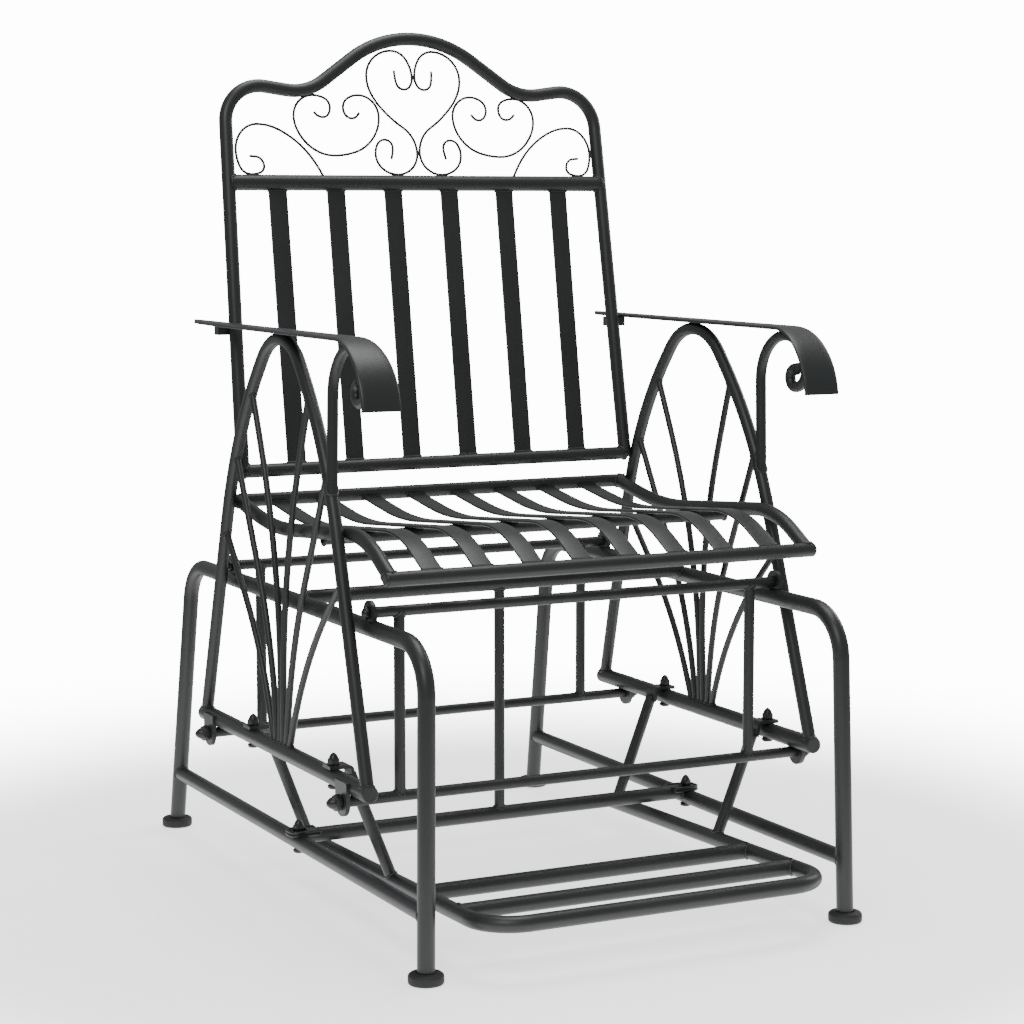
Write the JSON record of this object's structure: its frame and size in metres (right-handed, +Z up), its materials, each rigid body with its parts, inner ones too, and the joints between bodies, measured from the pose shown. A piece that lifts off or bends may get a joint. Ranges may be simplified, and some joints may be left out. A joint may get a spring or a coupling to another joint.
{
  "type": "glider chair",
  "caption": "Free-standing garden glider chair: slatted seat and scrolled back swing on parallel links in a tube base, with a joined footrest.",
  "frame": {"origin": "on the floor under the middle of the whole chair", "axes": "+X towards the sitter's left, +Y from the footrest to the back, +Z up"},
  "size_m": [0.6428, 0.8789, 1.0566],
  "materials": {
    "powder_coated_steel": "satin anthracite powder coat",
    "fasteners": "satin dark coating",
    "foot_rubber": "matt dark rubber"
  },
  "bodies": {
    "base": {"base_frame_left": "powder_coated_steel", "base_frame_right": "powder_coated_steel", "base_side_rail_left": "powder_coated_steel", "base_side_rail_right": "powder_coated_steel", "base_lower_crossbar": "powder_coated_steel", "base_upper_crossbar": "powder_coated_steel", "base_centre_post": "powder_coated_steel", "upper_pivot_lugs": "powder_coated_steel", "foot_caps": "foot_rubber", "crossbar_bolts": "fasteners", "crossbar_cap_nuts": "fasteners"},
    "front_link": {"front_link_cap_nuts": "fasteners", "front_link_lower_rod": "powder_coated_steel", "front_link_posts": "powder_coated_steel", "front_link_upper_rod": "powder_coated_steel"},
    "rear_link": {"rear_link_cap_nuts": "fasteners", "rear_link_lower_rod": "powder_coated_steel", "rear_link_posts": "powder_coated_steel", "rear_link_upper_rod": "powder_coated_steel"},
    "seat": {"arch_left": "powder_coated_steel", "arch_rail_left": "powder_coated_steel", "arch_rail_right": "powder_coated_steel", "arch_right": "powder_coated_steel", "arm_brackets": "powder_coated_steel", "arm_scroll_rods": "powder_coated_steel", "armrest_left": "powder_coated_steel", "armrest_right": "powder_coated_steel", "back_corner_scrolls": "powder_coated_steel", "back_heart_scrolls": "powder_coated_steel", "back_hoop": "powder_coated_steel", "back_lower_crossbar": "powder_coated_steel", "back_ring_scrolls": "powder_coated_steel", "back_slat_1": "powder_coated_steel", "back_slat_2": "powder_coated_steel", "back_slat_3": "powder_coated_steel", "back_slat_4": "powder_coated_steel", "back_slat_5": "powder_coated_steel", "back_slat_6": "powder_coated_steel", "back_upper_crossbar": "powder_coated_steel", "fan_rods_left": "powder_coated_steel", "fan_rods_right": "powder_coated_steel", "footrest_bars": "powder_coated_steel", "footrest_frame": "powder_coated_steel", "footrest_struts": "powder_coated_steel", "lower_pivot_lugs": "powder_coated_steel", "seat_front_rail": "powder_coated_steel", "seat_rear_rail": "powder_coated_steel", "seat_side_rail_left": "powder_coated_steel", "seat_side_rail_right": "powder_coated_steel", "seat_slat_1": "powder_coated_steel", "seat_slat_2": "powder_coated_steel", "seat_slat_3": "powder_coated_steel", "seat_slat_4": "powder_coated_steel", "seat_slat_5": "powder_coated_steel", "seat_slat_6": "powder_coated_steel", "seat_slat_7": "powder_coated_steel", "seat_slat_8": "powder_coated_steel", "seat_support": "powder_coated_steel", "strut_bolts": "fasteners", "strut_cap_nuts": "fasteners"}
  },
  "joints": [
    {"name": "front_link", "type": "hinge", "parent": "base", "child": "front_link", "pos_m": [0, -0.2275, 0.383], "axis": [1, 0, 0], "range_deg": [-12, 12]},
    {"name": "seat_pivot", "type": "hinge", "parent": "front_link", "child": "seat", "pos_m": [0, -0.2275, 0.171], "axis": [1, 0, 0], "range_deg": [-12, 12]},
    {"name": "rear_link", "type": "hinge", "parent": "base", "child": "rear_link", "pos_m": [0, 0.201, 0.383], "axis": [1, 0, 0], "range_deg": [-12, 12]}
  ],
  "couplings": [
    {"joint": "seat_pivot", "follows": "front_link", "ratio": -1},
    {"joint": "rear_link", "follows": "front_link", "ratio": 1}
  ]
}
